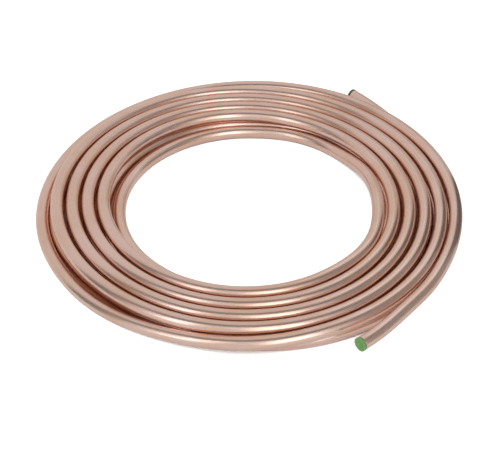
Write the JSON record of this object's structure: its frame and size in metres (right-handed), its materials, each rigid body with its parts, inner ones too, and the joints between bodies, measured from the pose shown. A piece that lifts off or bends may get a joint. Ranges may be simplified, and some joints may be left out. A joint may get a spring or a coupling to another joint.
{
  "type": "copper tube coil",
  "caption": "Long soft copper tube wound flat in two layers around an open bore, with both ends on the outside and a plastic plug in each end.",
  "frame": {"origin": "middle of the coil's footprint, on the floor it lies on", "axes": "+Z is the coil's winding axis and points up from the floor, +X points towards the side where both tube ends leave, +Y towards the lower end's side"},
  "size_m": [0.6188, 0.6158, 0.0387],
  "materials": {
    "soft_copper": "bright annealed copper, satin drawn surface",
    "green_plastic": "plain moulded polyethylene"
  },
  "bodies": {
    "root": {"copper_tube": "soft_copper", "upper_end_plug": "green_plastic", "lower_end_plug": "green_plastic"}
  },
  "joints": []
}
